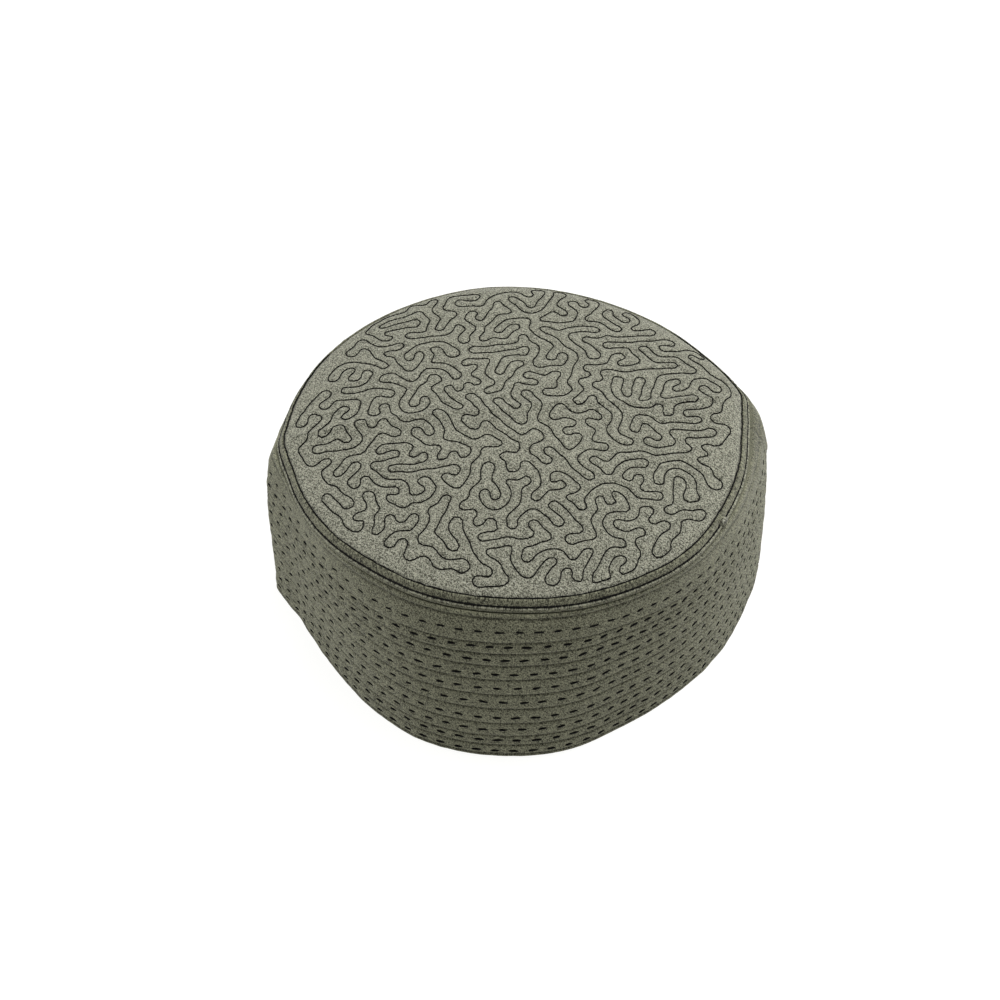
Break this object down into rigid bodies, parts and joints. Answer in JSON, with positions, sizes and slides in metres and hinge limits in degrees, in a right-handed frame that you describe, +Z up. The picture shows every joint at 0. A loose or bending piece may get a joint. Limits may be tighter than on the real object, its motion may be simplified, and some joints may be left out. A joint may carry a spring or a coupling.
{
  "type": "prayer cap",
  "caption": "Soft round prayer cap with a flat quilted crown, a stitched tape round its edge and a tucked side band, open below for the head.",
  "frame": {"origin": "middle of the rim's footprint, on the surface that the cap rests on", "axes": "+X along the crease across the crown, +Y towards the back, +Z up through the crown"},
  "size_m": [0.2016, 0.1876, 0.0911],
  "materials": {
    "crown_cloth": "matt grey-olive melange cotton, quilted with one winding line of black thread",
    "tape_cloth": "matt grey-olive cotton tape with two lines of black stitches",
    "band_cloth": "matt grey-olive melange cotton in stitched tucks with rows of black running stitches"
  },
  "bodies": {
    "root": {"crown": "crown_cloth", "crown_tape": "tape_cloth", "side_band": "band_cloth"}
  },
  "joints": []
}
